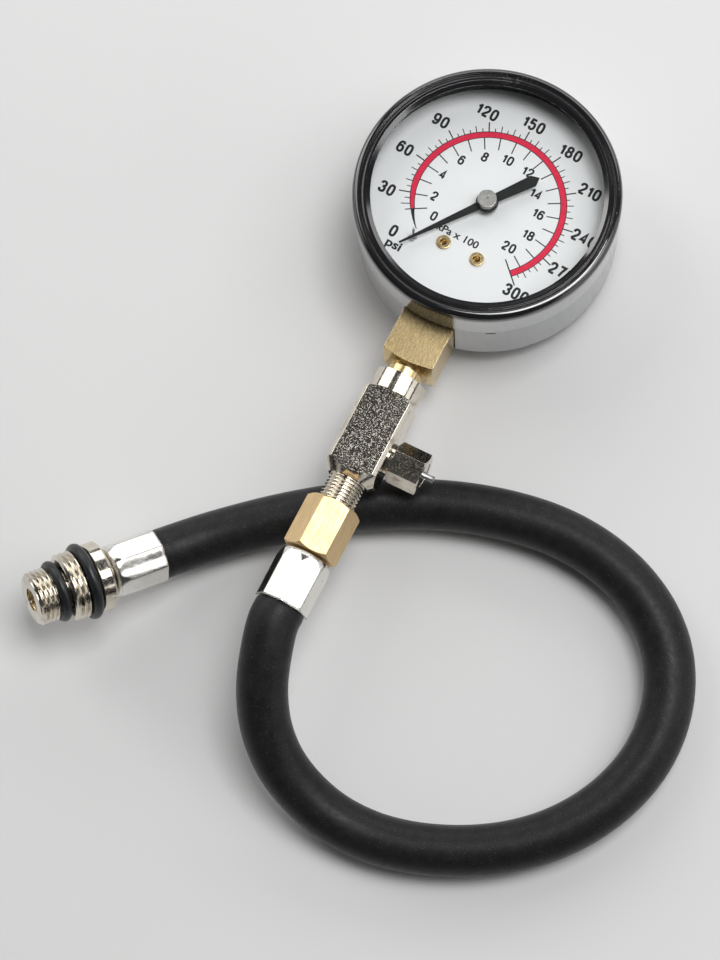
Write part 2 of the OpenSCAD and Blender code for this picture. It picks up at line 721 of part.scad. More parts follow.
module link() color("silver") placed()
    translate([tail_at[0], tail_at[1], link_z]) rotate(link_angle) difference() {
    linear_extrude(link_t) {
        circle(r = link_pin_d / 2 + 0.75);
        translate([link_len, 0]) circle(r = link_pin_d / 2 + tip_play + 0.6);
        translate([0, -0.7]) square([link_len, 1.4]);
    }
    rod(link_pin_d / 2 + slip, -1, 2);
    translate([link_len, 0, 0]) rod(link_pin_d / 2 + tip_play, -1, 2);
}

// Flattened pressure tube and its tip
module tube_section(w, h) {
    translate([tube_r - w / 2, tube_z - (h - w) / 2]) square([w, h - w]);
    for (side = [-1, 1]) translate([tube_r, tube_z + side * (h - w) / 2]) circle(d = w);
}

module tube_run(a0, a1, w, h) rotate(a0) rotate_extrude(angle = a1 - a0) tube_section(w, h);

module bourdon_tube() color("peru") placed() difference() {
    tube_run(tube_stop, tube_start, tube_w, tube_h);
    tube_run(tube_stop - 1, tube_start + 1, tube_w - 2 * tube_wall, tube_h - 2 * tube_wall);
}

module tube_tip() color("goldenrod") placed() {
    tube_run(tip_stop, tube_stop - 0.2, tube_w, tube_h);
    translate(tip_at) rod(link_pin_d / 2, tube_z, link_z + link_t + 0.3);
}

// Brass bar: carries the movement, the tube and the case, and leads the gas
shank_in_tee = 8;
shank_end = tee_start + shank_in_tee;
passage_start = tube_r - 1;
bar_end_r = 5.9;
bar_end_slope = 0.33 * (block_w * 0.72 - bar_end_r);
module socket_block() color("goldenrod") {
    difference() {
        union() {
            stem() intersection() {
                translate([-block_w / 2, -block_w / 2, ledge_end])
                    cube([block_w, block_w, block_end - ledge_end]);
                turned_ends(block_w * 0.72, ledge_end - 1, block_w * 0.72, 0.5,
                    block_end, bar_end_r, bar_end_slope);
            }
            placed() translate([-block_w / 2, -ledge_end - 1, case_wall])
                cube([block_w, ledge_end + 1 - ledge_start, ledge_z - case_wall]);
            stem() rod(pipe_d / 2 - 0.25, block_end - 1, tee_start);
            stem() thread(pipe_d, pipe_pitch, tee_start, shank_end);
        }
        stem() rod(passage_d / 2, passage_start, shank_end + 1);
        stem() rod(restrictor_r + slip, shank_end - 4, shank_end + 1);
        placed() {
            tube_run(tube_start - 10, tube_start + 0.5, tube_w + 2 * slip, tube_h + 2 * slip);
            translate([-tube_r / 5, -tube_r, tube_z]) rotate([0, 90, 0]) cylinder(r = 0.9, h = tube_r / 5);
            rod(case_in_r - 1, bar_top, gauge_h);
            for (y = screw_rows) translate([0, y, 0]) screw_cut();
            for (side = [-1, 1]) translate([side * ledge_screw_x, ledge_screw_y])
                rod(1 + slip, ledge_z - ledge_screw_len - 0.4, ledge_z + 1);
        }
    }
}

restrictor_r = 2.1;
module restrictor() color("silver") stem() difference() {
    rod(restrictor_r, shank_end - 3.9, shank_end - 0.3);
    rod(0.3, 0, shank_end + 1);
    translate([-3, -0.25, shank_end - 1]) cube([6, 0.5, 2]);
}

// Nickel tee with its side port
tee_bore_end = shank_end + 1;
neck_end = hex_start + 8;
module tee_body() color("lightgray") difference() {
    union() {
        stem() tube(pipe_d / 2 + slip, tee_collar_d / 2, tee_start, tee_body_start + 0.5);
        stem() intersection() {
            translate([-tee_w / 2, -tee_w / 2, tee_body_start]) cube([tee_w, tee_w, tee_len]);
            rotate(45) translate([-tee_diagonal / 2, -tee_diagonal / 2, tee_body_start])
                cube([tee_diagonal, tee_diagonal, tee_len]);
            turned_ends(tee_w * 0.71, tee_body_start, tee_w / 2 - 0.5, 1.9, tee_end, pipe_d / 2 + 0.6, 3.2);
        }
        stem() thread(pipe_d, pipe_pitch, tee_end - 0.5, neck_end);
    }
    stem() rod(pipe_d / 2 + slip, tee_start - 1, tee_bore_end);
    stem() rod(passage_d / 2, tee_start, neck_end + 1);
    side_port() rod(valve_shank_d / 2 + slip, valve_shank_x - 0.2, tee_w);
    side_port() rod(chamber_r, 0, tee_w);
}
tee_diagonal = (tee_w + tee_flat) / sqrt(2);

// Release valve in the side port
valve_collar_d = 8.4;
valve_hex_turn = 15;
collar_x = tee_w / 2 + seat;
hexagon_x = collar_x + 1.1;
module release_body() color("lightgray") side_port() difference() {
    union() {
        rod(valve_shank_d / 2, valve_shank_x, collar_x + 0.1);
        rod(valve_collar_d / 2, collar_x, hexagon_x + 0.1);
        rotate(valve_hex_turn) hexagon(valve_af, hexagon_x, valve_end, 0.6, 0.5);
    }
    rod(chamber_r, 0, valve_seat_x);
    rod(valve_hole_r, 0, valve_end);
    rod(chamber_r, valve_web_x, valve_end + 1);
    rod(valve_bush_r + slip, valve_bush_x, valve_end + 1);
}

valve_bush_r = 3.1;
module release_bush() color("silver") side_port()
    tube(valve_hole_r, valve_bush_r, valve_bush_x, valve_end - 0.1);

module release_plunger() color("silver") side_port() difference() {
    union() {
        rod(plunger_d / 2, plunger_start, plunger_end);
        translate([0, 0, plunger_end - 0.6])
            cylinder(r1 = plunger_d / 2, r2 = plunger_d / 2 + 0.15, h = 0.6);
        rod(valve_head_r, plunger_start, plunger_start + head_t);
        rod(valve_head_r, valve_bush_x - slip - flange_t, valve_bush_x - slip);
    }
    rod(plunger_d / 4, plunger_end - 1.6, plunger_end + 1);
}

module release_seal() color("dimgray") side_port()
    tube(plunger_d / 2 + 0.02, valve_head_r, valve_seat_x - seal_t - 0.02, valve_seat_x - 0.02);

// Tube swept along a path with rings square to it
function unit(v) = v / norm(v);
function heading(path, i) = unit(path[min(i + 1, len(path) - 1)] - path[max(i - 1, 0)]);
function ring_at(p, t, r, n) =
    let (side = unit(cross(t, abs(t[2]) > 0.9 ? [1, 0, 0] : [0, 0, 1])), up = cross(side, t))
    [for (k = [0:n - 1]) p + r * (cos(360 * k / n - 90) * side + sin(360 * k / n - 90) * up)];
function wall_faces(first, rings, n, out) = [for (i = [0:rings - 2], k = [0:n - 1])
    let (a = first + i * n + k, b = first + i * n + (k + 1) % n, c = a + n, d = b + n)
    each (out ? [[a, c, d], [a, d, b]] : [[a, d, c], [a, b, d]])];
function cap_faces(first, n, out) = [for (k = [1:n - 2])
    out ? [first, first + k, first + k + 1] : [first, first + k + 1, first + k]];

module solid_sweep(path, r, n) {
    rings = len(path);
    polyhedron(
        [for (i = [0:rings - 1]) each ring_at(path[i], heading(path, i), r, n)],
        concat(wall_faces(0, rings, n, true), cap_faces(0, n, true), cap_faces((rings - 1) * n, n, false))
    );
}

// Coil spring along z
module coil(r, wire, z0, z1, turns) {
    steps = 8;
    solid_sweep([for (i = [0:turns * steps]) let (a = 360 * i / steps)
        [r * cos(a), r * sin(a), z0 + wire / 2 + (z1 - z0 - wire) * i / turns / steps]], wire / 2, 6);
}

module release_spring() color("silver") side_port()
    coil(plunger_d / 2 + 0.45, 0.36, valve_web_x + 0.05, valve_bush_x - slip - flange_t - 0.05, 7);

// Brass hexagon with its barb, turned as it was screwed home
nut_turn = -10.5;
module hose_insert() color("goldenrod") stem() difference() {
    union() {
        rotate(nut_turn) hexagon(hex_af, hex_start, hex_end, 0.9, 0.9);
        rod(ferrule_neck_r, hex_end - 0.1, ferrule_start + ferrule_web + 0.1);
        barbs(ferrule_start + ferrule_web, mouth_s - 2);
    }
    rod(pipe_d / 2 + slip, hex_start - 1, neck_end + 0.6);
    rod(passage_d / 2, hex_start, mouth_s);
}

gauge_ferrule_turn = -4;
plug_ferrule_turn = -3;
module ferrule_gauge_end() color("whitesmoke") stem() ferrule(ferrule_start, mouth_s, gauge_ferrule_turn);
module ferrule_plug_end() color("whitesmoke") plug_end() ferrule(plug_len, plug_mouth, plug_ferrule_turn);

// Hollow hose
module hose() color("dimgray") translate([0, origin_y, 0]) {
    bore_first = hose_rings * hose_sides;
    last_out = (hose_rings - 1) * hose_sides;
    polyhedron(
        concat(
            [for (i = [0:hose_rings - 1])
                each ring_at(hose_path[i], heading(hose_path, i), hose_radius(i), hose_sides)],
            [for (i = [0:hose_rings - 1])
                each ring_at(hose_path[i], heading(hose_path, i), bore_r, hose_sides)]
        ),
        concat(
            wall_faces(0, hose_rings, hose_sides, true),
            wall_faces(bore_first, hose_rings, hose_sides, false),
            [for (k = [0:hose_sides - 1]) let (b = (k + 1) % hose_sides)
                each [[k, b, bore_first + b], [k, bore_first + b, bore_first + k]]],
            [for (k = [0:hose_sides - 1]) let (b = (k + 1) % hose_sides)
                each [[last_out + b, last_out + k, bore_first + last_out + k],
                    [last_out + b, bore_first + last_out + k, bore_first + last_out + b]]]
        )
    );
}

// Stepped plug for two sizes of spark-plug hole
module plug_fitting() color("lightgray") plug_end() difference() {
    union() {
        thread(thread_14_d, thread_14_pitch, 0, thread_14_len);
        rod(ring_14_mid - ring_14_t / 2 - slip, 0.1, thread_18_start + 0.1);
        thread(thread_18_d, thread_18_pitch, thread_18_start, thread_18_start + thread_18_len);
        rod(ring_18_mid - ring_18_t / 2 - slip, thread_18_start, collar_start + 0.1);
        rotate_extrude() polygon([
            [0, collar_start], [collar_d / 2 - 0.3, collar_start], [collar_d / 2, collar_start + 0.3],
            [collar_d / 2, collar_start + collar_len - 0.6], [collar_d / 2 - 0.6, collar_start + collar_len],
            [0, collar_start + collar_len]
        ]);
        rod(6, collar_start, plug_len - 0.1);
        rod(ferrule_neck_r, plug_len - 0.2, plug_len + ferrule_web + 0.1);
        barbs(plug_len + ferrule_web, plug_mouth - 2);
    }
    rod(tip_hole_d / 2, -1, bore_step_x);
    rod(passage_d / 2, 0, plug_mouth);
}

module o_ring(mid, t, x) plug_end() translate([0, 0, x]) rotate_extrude() translate([mid, 0]) circle(d = t);
module o_ring_small() color("black") o_ring(ring_14_mid, ring_14_t, ring_14_x);
module o_ring_large() color("black") o_ring(ring_18_mid, ring_18_t, ring_18_x);

// Check valve in the tip
check_r = tip_hole_d / 2 - slip;
check_head_t = 0.7;
check_stop = 0.7;
module check_housing() color("goldenrod") plug_end() difference() {
    rod(check_r, check_x, check_seat_x);
    rod(check_r - check_wall, check_x - 1, check_seat_x - check_web);
    rod(check_pin_r + play, 0, check_seat_x + 1);
    for (a = [0, 90]) rotate(a) translate([-3, -0.25, check_x - 1]) cube([6, 0.5, 1.6]);
}

module check_pin() color("silver") plug_end() {
    rod(check_pin_r, check_x + 0.2, check_seat_x + seal_gap + check_head_t + 0.4);
    rod(check_r - check_wall - 0.15, check_x + 0.7, check_x + 0.7 + check_stop);
    rod(check_r - 0.35, check_seat_x + seal_gap + 0.4, check_seat_x + seal_gap + 0.4 + check_head_t);
}

seal_gap = 0.02;
module check_seal() color("dimgray") plug_end()
    tube(check_pin_r + 0.02, check_r - 0.35, check_seat_x + seal_gap, check_seat_x + seal_gap + 0.38);

module check_spring() color("silver") plug_end()
    coil(check_pin_r + 0.35, 0.25, check_x + 0.75 + check_stop, check_seat_x - check_web - 0.05, 7);

case();
bezel();
lens();
lens_gasket();
spacer_ring();
case_screws();
dial_plate();
dial_rivets();
dial_posts();
stop_pin();
pointer();
pointer_cap();
pointer_arbor();
hairspring();
back_plate();
front_plate();
pillars();
pillar_screws();
ledge_screws();
sector_gear();
sector_arbor();
tail_pin();
link();
bourdon_tube();
tube_tip();
socket_block();
restrictor();
tee_body();
release_body();
release_bush();
release_plunger();
release_seal();
release_spring();
hose_insert();
ferrule_gauge_end();
hose();
ferrule_plug_end();
plug_fitting();
o_ring_small();
o_ring_large();
check_housing();
check_pin();
check_seal();
check_spring();
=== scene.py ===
import math

import bpy
import numpy as np
from mathutils import Matrix, Vector
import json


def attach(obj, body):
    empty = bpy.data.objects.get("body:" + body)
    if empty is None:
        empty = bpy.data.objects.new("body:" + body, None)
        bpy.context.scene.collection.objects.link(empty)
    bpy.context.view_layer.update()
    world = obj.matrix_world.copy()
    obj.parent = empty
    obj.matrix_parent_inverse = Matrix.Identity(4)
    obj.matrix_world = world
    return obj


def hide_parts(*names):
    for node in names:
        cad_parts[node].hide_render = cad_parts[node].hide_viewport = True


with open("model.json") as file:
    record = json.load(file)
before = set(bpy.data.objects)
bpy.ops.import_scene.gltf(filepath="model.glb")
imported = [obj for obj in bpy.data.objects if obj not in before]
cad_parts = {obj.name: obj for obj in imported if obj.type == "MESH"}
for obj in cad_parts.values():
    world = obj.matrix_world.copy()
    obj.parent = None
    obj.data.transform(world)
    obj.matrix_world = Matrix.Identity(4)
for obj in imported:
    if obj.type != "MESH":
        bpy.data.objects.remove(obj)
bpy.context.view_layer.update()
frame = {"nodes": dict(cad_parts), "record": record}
nodes = frame["nodes"]
scene = bpy.context.scene
scene.view_settings.view_transform = "Standard"
MM = 0.001

# Frames, with the same numbers as the part's source
ORIGIN_Y = 38.4908
LIFT = 4.0262
STEM_Z = 7.7
TILT = math.radians(7)
DIAL_TURN = math.radians(-2.6)
DIAL_Z = 17.1
gauge = Matrix.Translation((0, ORIGIN_Y * MM, LIFT * MM)) @ Matrix.Rotation(-TILT, 4, "X")
dial = gauge @ Matrix.Rotation(DIAL_TURN, 4, "Z")

# Camera at the photograph's place
camera = bpy.data.objects.new("camera", bpy.data.cameras.new("camera"))
camera.data.lens = 112.5
camera.data.sensor_width = 36
camera.data.clip_start = 0.01
camera.location = (0.129036, -0.126268, 0.756922)
camera.rotation_euler = [math.radians(a) for a in (10.4719, 5.6515, 26.6811)]
scene.collection.objects.link(camera)
scene.camera = camera


def piece(name, verts, faces, smooth=False):
    """A mesh object that rides on the root body."""
    mesh = bpy.data.meshes.new(name)
    mesh.from_pydata([tuple(v) for v in verts], [], faces)
    mesh.update()
    if smooth:
        mesh.polygons.foreach_set("use_smooth", [True] * len(mesh.polygons))
    obj = bpy.data.objects.new(name, mesh)
    scene.collection.objects.link(obj)
    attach(obj, "root")
    return obj


# The hose's route, in mm; outside the ferrules its points are those of the part's source
cos_t, sin_t = math.cos(TILT), math.sin(TILT)
PLUG_TURN, PLUG_SLOPE = math.radians(50.5), math.radians(22.5)
plug_axis = Vector((
    math.cos(PLUG_TURN) * math.cos(PLUG_SLOPE),
    math.sin(PLUG_TURN) * math.cos(PLUG_SLOPE),
    -math.sin(PLUG_SLOPE),
))
PLUG_MOUTH = 35.0
plug_tip = Vector((-37.1, -113.9, 10.8)) - PLUG_MOUTH * plug_axis
HOSE_R = 6.5
MOUTH_S = 114.7
LEAD = 4


def on_stem(reach):
    """A point on the stem's axis, at a distance from the gauge's axis."""
    return Vector((0, STEM_Z * sin_t - reach * cos_t, STEM_Z * cos_t + LIFT + reach * sin_t))


def on_plug(reach):
    """A point on the plug's axis, at a distance from its tip."""
    return plug_tip + reach * plug_axis


HOSE_POINTS = [
    (1.5, -124, 18.6), (4.4, -133, 15.6), (9, -141, 11.2), (15.5, -147.2, 6.8),
    (23.5, -151.2, 3.3), (32.5, -153.4, 1.1), (42.5, -153.5, 0.1), (52, -151.7, 0),
    (61, -148.5, 0), (69.5, -144.2, 0), (77.3, -138.8, 0), (84.2, -132.2, 0),
    (89.9, -124.4, 0), (94, -115.8, 0), (96.3, -106.6, 0), (96.4, -97.2, 0),
    (94.2, -88, 0), (89.8, -79.8, 0), (83.4, -73.2, 0), (75.6, -68.4, 0),
    (67.2, -65.4, 0), (58.5, -63.9, 0), (49.5, -63.8, 0), (40.4, -65, 0),
    (31.2, -67.2, 0), (21.8, -70.4, 0), (12, -74.9, 0), (2, -80.4, 0),
    (-7, -86.4, 0), (-14.3, -91.9, 0), (-21.4, -97.8, 0), (-28.5, -104.3, 0.6),
]
# Both ends run straight inside the ferrules and a little past their mouths
stem_end = [on_stem(s) for s in (102.0, 108.0, MOUTH_S, MOUTH_S + LEAD)]
plug_end = [on_plug(x) for x in (PLUG_MOUTH + LEAD, PLUG_MOUTH, 28.5, 22.6)]
route = stem_end + [Vector((x, y, z + HOSE_R)) for x, y, z in HOSE_POINTS] + plug_end
route = [(p + Vector((0, ORIGIN_Y, 0))) * MM for p in route]


def smooth_line(points, step):
    """Catmull-Rom through the points, with centripetal knots."""
    pts = [2 * points[0] - points[1]] + list(points) + [2 * points[-1] - points[-2]]
    out = []
    for i in range(1, len(pts) - 2):
        p0, p1, p2, p3 = pts[i - 1:i + 3]
        t0 = 0.0
        t1 = t0 + (p1 - p0).length ** 0.5
        t2 = t1 + (p2 - p1).length ** 0.5
        t3 = t2 + (p3 - p2).length ** 0.5
        n = max(2, round((p2 - p1).length / step))
        for k in range(n):
            t = t1 + (t2 - t1) * k / n
            a1 = (t1 - t) / (t1 - t0) * p0 + (t - t0) / (t1 - t0) * p1
            a2 = (t2 - t) / (t2 - t1) * p1 + (t - t1) / (t2 - t1) * p2
            a3 = (t3 - t) / (t3 - t2) * p2 + (t - t2) / (t3 - t2) * p3
            b1 = (t2 - t) / (t2 - t0) * a1 + (t - t0) / (t2 - t0) * a2
            b2 = (t3 - t) / (t3 - t1) * a2 + (t - t1) / (t3 - t1) * a3
            out.append((t2 - t) / (t2 - t1) * b1 + (t - t1) / (t2 - t1) * b2)
    out.append(points[-1].copy())
    return out


def tube(name, line, radius, sides):
    """A closed tube along the line; radius(distance) in metres."""
    verts, faces = [], []
    side = Vector((0, 0, 1)).cross(line[1] - line[0]).normalized()
    run = 0.0
    for i, p in enumerate(line):
        heading = (line[min(i + 1, len(line) - 1)] - line[max(i - 1, 0)]).normalized()
        if i:
            run += (p - line[i - 1]).length
        side = (side - side.dot(heading) * heading).normalized()
        up = heading.cross(side)
        r = radius(run)
        for k in range(sides):
            a = 2 * math.pi * k / sides
            verts.append(p + r * (math.cos(a) * side + math.sin(a) * up))
    for i in range(len(line) - 1):
        for k in range(sides):
            a, b = i * sides + k, i * sides + (k + 1) % sides
            faces.append((a, b, b + sides, a + sides))
    last = (len(line) - 1) * sides
    faces.append(tuple(reversed(range(sides))))
    faces.append(tuple(last + k for k in range(sides)))
    return piece(name, verts, faces, smooth=True)


HOSE_STEP = 0.0011
HOSE_SIDES = 48
hose_line = smooth_line(route, HOSE_STEP)
hose_len = sum((b - a).length for a, b in zip(hose_line, hose_line[1:]))

# The ferrules grip the hose over a length, by a depth that then eases out by its slope
GRIP_LEN = 12.2
GRIP_DEPTH = 0.6
GRIP_SLOPE = 0.75


def hose_radius(run):
    past_grip = max(0.0, min(run, hose_len - run) / MM - GRIP_LEN)
    return (HOSE_R - max(0.0, GRIP_DEPTH - past_grip * GRIP_SLOPE)) * MM


hose = tube("hose_rubber", hose_line, hose_radius, HOSE_SIDES)
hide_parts("hose")


def at(r, deg):
    """A point on the dial, by radius and clockwise angle from the top."""
    return (r * math.sin(math.radians(deg)), r * math.cos(math.radians(deg)))


class Surface:
    """A procedural material: a Principled shader and the nodes that vary it."""

    def __init__(self, name, color, rough, metal=0.0, **sockets):
        self.mat = bpy.data.materials.new(name)
        self.mat.use_nodes = True
        self.tree = self.mat.node_tree
        self.bsdf = self.tree.nodes["Principled BSDF"]
        self.set("Base Color", (*color, 1))
        self.set("Roughness", rough)
        self.set("Metallic", metal)
        for key, value in sockets.items():
            self.set(key.replace("_", " "), value)
        self.coords = self.tree.nodes.new("ShaderNodeTexCoord").outputs["Object"]
        self.normal = None

    def set(self, socket, value):
        self.bsdf.inputs[socket].default_value = value

    def link(self, out, socket):
        self.tree.links.new(out, socket)

    def node(self, kind, **inputs):
        n = self.tree.nodes.new(kind)
        for key, value in inputs.items():
            socket = n.inputs[key.replace("_", " ")]
            if hasattr(value, "is_linked"):
                self.link(value, socket)
            else:
                socket.default_value = value
        return n

    def noise(self, scale, detail, stretch=(1, 1, 1), turn=(0, 0, 0), seed=0.0):
        """Noise of a scale per metre; the seed shifts it."""
        mapped = self.node("ShaderNodeMapping", Vector=self.coords, Scale=stretch, Rotation=turn,
                           Location=(seed, seed * 0.7, 0)).outputs[0]
        return self.node("ShaderNodeTexNoise", Vector=mapped, Scale=scale, Detail=detail).outputs["Fac"]

    def remap(self, value, low, high, to_low=0.0, to_high=1.0):
        """Low to high becomes to_low to to_high, held past both ends."""
        n = self.node("ShaderNodeMapRange", Value=value)
        for key, v in (("From Min", low), ("From Max", high), ("To Min", to_low), ("To Max", to_high)):
            n.inputs[key].default_value = v
        return n.outputs[0]

    def ramp(self, value, *stops):
        """A blend between two stops, each a place and a colour."""
        n = self.node("ShaderNodeValToRGB", Fac=value)
        for e, (place, color) in zip(n.color_ramp.elements, stops):
            e.position = place
            e.color = (*color, 1)
        return n.outputs[0]

    def mix(self, fac, a, b):
        n = self.tree.nodes.new("ShaderNodeMix")
        n.data_type = "RGBA"
        for index, value in ((0, fac), (6, a), (7, b)):
            if hasattr(value, "is_linked"):
                self.link(value, n.inputs[index])
            else:
                n.inputs[index].default_value = (*value, 1) if index else value
        return n.outputs[2]

    def math(self, kind, a, b=0.0):
        n = self.tree.nodes.new("ShaderNodeMath")
        n.operation = kind
        for i, value in enumerate((a, b)):
            if hasattr(value, "is_linked"):
                self.link(value, n.inputs[i])
            else:
                n.inputs[i].default_value = value
        return n.outputs[0]

    def near(self, point, radius):
        """1 at a point, given in metres, falling to 0 at the radius."""
        n = self.tree.nodes.new("ShaderNodeVectorMath")
        n.operation = "DISTANCE"
        self.link(self.coords, n.inputs[0])
        n.inputs[1].default_value = point
        return self.remap(n.outputs["Value"], radius * 0.4, radius, 1.0, 0.0)

    def above(self, plane, height):
        """The distance in metres above a plane of a frame, its height given in mm."""
        n = self.tree.nodes.new("ShaderNodeVectorMath")
        n.operation = "DOT_PRODUCT"
        up = plane.col[2].xyz
        self.link(self.coords, n.inputs[0])
        n.inputs[1].default_value = up
        return self.math("SUBTRACT", n.outputs["Value"], plane.translation.dot(up) + height * MM)

    def edges(self, radius, low=0.8, high=0.985):
        """1 along sharp outer and inner edges, 0 on flats; the normal is rounded there."""
        soft = self.node("ShaderNodeBevel", Radius=radius)
        soft.samples = 6
        self.normal = soft.outputs[0]
        dot = self.tree.nodes.new("ShaderNodeVectorMath")
        dot.operation = "DOT_PRODUCT"
        self.link(soft.outputs[0], dot.inputs[0])
        self.link(self.tree.nodes.new("ShaderNodeNewGeometry").outputs["Normal"], dot.inputs[1])
        return self.remap(dot.outputs["Value"], low, high, 1.0, 0.0)

    def color(self, out):
        self.link(out, self.bsdf.inputs["Base Color"])

    def rough(self, out):
        self.link(out, self.bsdf.inputs["Roughness"])

    def bump(self, height, distance, strength=1.0):
        n = self.node("ShaderNodeBump", Height=height, Distance=distance, Strength=strength)
        if self.normal is not None:
            self.link(self.normal, n.inputs["Normal"])
        self.normal = n.outputs[0]

    def done(self):
        if self.normal is not None:
            self.link(self.normal, self.bsdf.inputs["Normal"])
        return self.mat


def satin_black(name, low, high, rough, specular=0.4):
    s = Surface(name, low, rough, Specular_IOR_Level=specular)
    s.edges(0.00012)
    s.color(s.ramp(s.noise(260, 4), (0.3, low), (0.7, high)))
    s.rough(s.remap(s.noise(620, 4, seed=3), 0.3, 0.7, rough * 0.8, rough * 1.25))
    s.bump(s.noise(1500, 2, seed=5), 0.00001, 0.2)
    return s.done()


def case_steel():
    """Bright drawn steel: smooth, with faint draw lines, a few small marks and painted shade at the step in
    its side.
    """
    s = Surface("case_steel", (0.56, 0.565, 0.57), 0.2, metal=1.0)
    edge = s.edges(0.0002)
    base = s.ramp(s.noise(60, 3), (0.3, (0.5, 0.505, 0.51)), (0.7, (0.58, 0.585, 0.59)))
    mark = s.remap(s.noise(900, 4, stretch=(1, 1, 0.3), seed=7), 0.68, 0.76)
    base = s.mix(s.math("MULTIPLY", mark, 0.35), base, (0.25, 0.25, 0.25))
    # Painted shade: darker below the step in the side, and darkest just under the step's edge, at 15.9 mm
    height = s.above(gauge, 15.86)
    below = s.remap(height, -0.00015, 0.00005, 0.3, 0.0)
    line = s.remap(s.math("ABSOLUTE", height), 0.00006, 0.00022, 0.8, 0.0)
    base = s.mix(s.math("MAXIMUM", below, line), base, (0.2, 0.2, 0.2))
    # The edges are painted lighter: partly wear, partly a painted highlight along them
    s.color(s.mix(s.math("MULTIPLY", edge, 0.5), base, (0.78, 0.78, 0.78)))
    s.rough(s.remap(s.noise(700, 3, stretch=(1, 1, 0.06), seed=4), 0.3, 0.7, 0.15, 0.26))
    s.bump(s.noise(150, 2, seed=6), 0.00004, 0.12)
    return s.done()


def bezel_black():
    """Semi-gloss black enamel, rubbed at its edges and chipped in one place."""
    s = Surface("bezel_black", (0.008, 0.008, 0.009), 0.22, Specular_IOR_Level=0.9, Coat_Weight=0.6,
                Coat_Roughness=0.1)
    edge = s.edges(0.00015)
    rub = s.math("MULTIPLY", edge, s.remap(s.noise(500, 5, seed=1), 0.55, 0.72, 0.0, 0.15))
    base = s.ramp(s.noise(160, 4), (0.3, (0.006, 0.006, 0.007)), (0.7, (0.009, 0.009, 0.01)))
    base = s.mix(rub, base, (0.2, 0.2, 0.21))
    chip_spot = dial @ (Vector((*at(31.9, 342), 26.2)) * MM)
    chip = s.math("MULTIPLY", s.near(chip_spot, 0.006), s.remap(s.noise(1300, 4, seed=8), 0.52, 0.6))
    s.color(s.mix(s.math("MULTIPLY", chip, s.remap(edge, 0.0, 0.4, 0.05, 1.0)), base, (0.5, 0.5, 0.5)))
    s.rough(s.remap(s.noise(350, 4, seed=4), 0.3, 0.7, 0.12, 0.15))
    s.bump(s.noise(1300, 3, seed=6), 0.000002, 0.1)
    return s.done()


def dial_white():
    s = Surface("dial_white", (0.87, 0.87, 0.87), 0.35)
    s.color(s.ramp(s.noise(60, 4), (0.3, (0.86, 0.865, 0.87)), (0.7, (0.875, 0.88, 0.885))))
    s.rough(s.remap(s.noise(500, 3, seed=2), 0.3, 0.7, 0.32, 0.45))
    s.bump(s.noise(2400, 2, seed=4), 0.000004, 0.2)
    return s.done()


def print_ink(name, low, high):
    s = Surface(name, low, 0.5, Specular_IOR_Level=0.3)
    s.color(s.ramp(s.noise(900, 3), (0.35, low), (0.7, high)))
    s.rough(s.remap(s.noise(1500, 2, seed=2), 0.3, 0.7, 0.4, 0.6))
    return s.done()


def machined(name, low, high, rough, worn, along=(0.03, 1, 1), fine=2600, lines=0.25, tarnish=None):
    """Cut or drawn metal: fine lines one way, soft patches, thin bright edges (partly wear, partly a painted
    highlight).
    """
    s = Surface(name, low, rough, metal=1.0)
    edge = s.edges(0.00012)
    grain = s.noise(fine, 3, stretch=along)
    base = s.ramp(grain, (0.3, low), (0.7, high))
    if tarnish is not None:
        patch = s.remap(s.noise(170, 5, seed=3), 0.5, 0.72)
        base = s.mix(s.math("MULTIPLY", patch, 0.3), base, tarnish)
    # The edges take the lighter colour: partly wear, partly a painted highlight along them
    s.color(s.mix(s.math("MULTIPLY", edge, 0.8), base, worn))
    s.rough(s.remap(s.noise(fine * 0.7, 3, stretch=along, seed=5), 0.3, 0.7, rough * 0.87, rough * 1.15))
    s.bump(grain, 0.000012, lines)
    return s.done()


def nickel():
    """Bright plate over handled metal: speckle, short scratches, brown tarnish."""
    s = Surface("nickel", (0.66, 0.64, 0.6), 0.14, metal=1.0)
    edge = s.edges(0.00013)
    speck = s.remap(s.noise(2900, 2, seed=1), 0.5, 0.58)
    scratch = s.remap(s.noise(2600, 2, stretch=(1, 0.13, 1), turn=(0, 0, 0.45), seed=2), 0.66, 0.72)
    cross = s.remap(s.noise(2600, 2, stretch=(0.13, 1, 1), turn=(0, 0, -0.35), seed=4), 0.67, 0.73)
    lines = s.math("MAXIMUM", scratch, cross)
    worn = s.math("MAXIMUM", speck, lines)
    base = s.ramp(s.noise(240, 5, seed=7), (0.32, (0.54, 0.49, 0.41)), (0.62, (0.76, 0.7, 0.59)))
    stain = s.remap(s.noise(330, 6, seed=9), 0.58, 0.72)
    base = s.mix(s.math("MULTIPLY", stain, 0.65), base, (0.2, 0.13, 0.07))
    base = s.mix(s.math("MULTIPLY", worn, 0.4), base, (0.86, 0.83, 0.77))
    rust_spot = (-0.04516, -0.09573, 0.02542)
    rust = s.math("MULTIPLY", s.near(rust_spot, 0.0011), s.remap(s.noise(1500, 4), 0.35, 0.5))
    base = s.mix(rust, base, (0.03, 0.015, 0.008))
    # The edges are painted lighter: partly wear, partly a painted highlight along them
    s.color(s.mix(s.math("MULTIPLY", edge, 0.8), base, (0.93, 0.92, 0.89)))
    dull = s.math("MAXIMUM", s.math("MULTIPLY", speck, 0.23), s.math("MULTIPLY", lines, 0.28))
    s.rough(s.math("MAXIMUM", dull, s.remap(s.noise(500, 3, seed=5), 0.3, 0.7, 0.05, 0.1)))
    s.bump(s.math("SUBTRACT", s.noise(700, 4, seed=6), s.math("MULTIPLY", worn, 0.25)), 0.00001, 0.25)
    return s.done()


